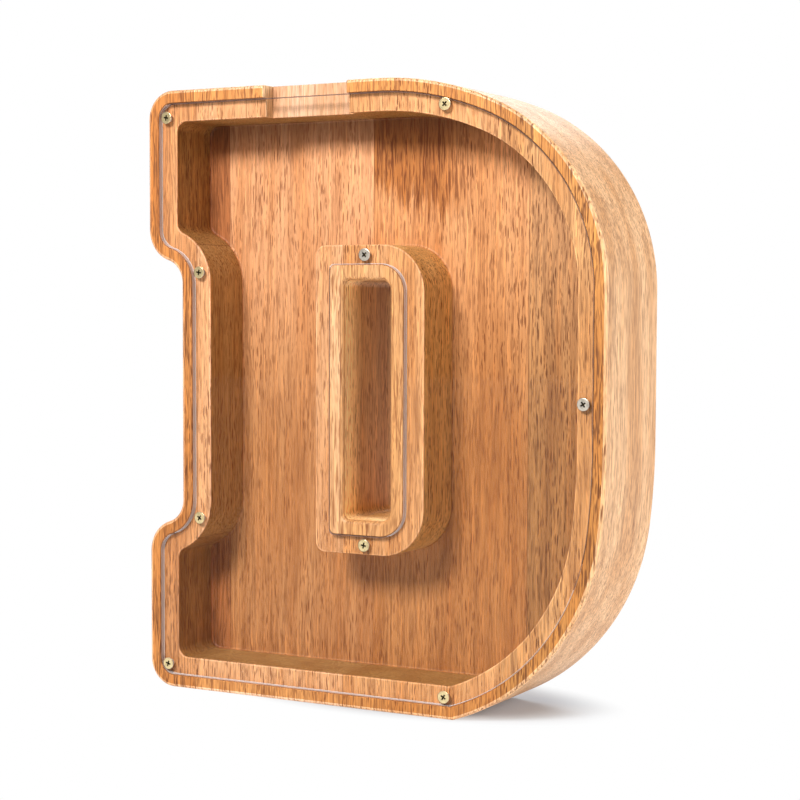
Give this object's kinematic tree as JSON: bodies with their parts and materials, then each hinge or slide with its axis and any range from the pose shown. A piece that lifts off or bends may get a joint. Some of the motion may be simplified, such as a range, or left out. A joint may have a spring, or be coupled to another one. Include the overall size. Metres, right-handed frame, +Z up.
{
  "type": "money box",
  "caption": "Slab-serif letter D money box in milled, edge-glued hardwood, with a clear screwed-on front panel, a coin slot in the top and an open counter.",
  "frame": {"origin": "centre of the footprint's bounding box, on the table", "axes": "+Z up along the letter's height, +X to the letter's right as read, front panel facing -Y"},
  "size_m": [0.178, 0.045, 0.215],
  "materials": {
    "wood_serif": "satin clear lacquer, slightly redder stave",
    "wood_stem": "satin clear lacquer, tan stave",
    "wood_counter": "satin clear lacquer, golden stave",
    "wood_bowl": "satin clear lacquer, streaky stave",
    "clear_panel": "clear acrylic sheet, polished faces and cut edges",
    "screw_brass": "bright brass plating"
  },
  "bodies": {
    "case": {"stave_serif": "wood_serif", "stave_stem": "wood_stem", "stave_counter": "wood_counter", "stave_bowl": "wood_bowl"},
    "panel": {"front_panel": "clear_panel"},
    "screw_top_left": {"screw_top_left": "screw_brass"},
    "screw_top": {"screw_top": "screw_brass"},
    "screw_stem_upper": {"screw_stem_upper": "screw_brass"},
    "screw_stem_lower": {"screw_stem_lower": "screw_brass"},
    "screw_bottom_left": {"screw_bottom_left": "screw_brass"},
    "screw_bottom": {"screw_bottom": "screw_brass"},
    "screw_bowl": {"screw_bowl": "screw_brass"},
    "screw_island_top": {"screw_island_top": "screw_brass"},
    "screw_island_bottom": {"screw_island_bottom": "screw_brass"}
  },
  "joints": [
    {"name": "panel_lift_off", "type": "slide", "parent": "case", "child": "panel", "axis": [0, -1, 0], "range_m": [0, 0.08]},
    {"name": "screw_top_left_draw", "type": "slide", "parent": "panel", "child": "screw_top_left", "axis": [0, -1, 0], "range_m": [0, 0.012]},
    {"name": "screw_top_draw", "type": "slide", "parent": "panel", "child": "screw_top", "axis": [0, -1, 0], "range_m": [0, 0.012]},
    {"name": "screw_stem_upper_draw", "type": "slide", "parent": "panel", "child": "screw_stem_upper", "axis": [0, -1, 0], "range_m": [0, 0.012]},
    {"name": "screw_stem_lower_draw", "type": "slide", "parent": "panel", "child": "screw_stem_lower", "axis": [0, -1, 0], "range_m": [0, 0.012]},
    {"name": "screw_bottom_left_draw", "type": "slide", "parent": "panel", "child": "screw_bottom_left", "axis": [0, -1, 0], "range_m": [0, 0.012]},
    {"name": "screw_bottom_draw", "type": "slide", "parent": "panel", "child": "screw_bottom", "axis": [0, -1, 0], "range_m": [0, 0.012]},
    {"name": "screw_bowl_draw", "type": "slide", "parent": "panel", "child": "screw_bowl", "axis": [0, -1, 0], "range_m": [0, 0.012]},
    {"name": "screw_island_top_draw", "type": "slide", "parent": "panel", "child": "screw_island_top", "axis": [0, -1, 0], "range_m": [0, 0.012]},
    {"name": "screw_island_bottom_draw", "type": "slide", "parent": "panel", "child": "screw_island_bottom", "axis": [0, -1, 0], "range_m": [0, 0.012]}
  ]
}
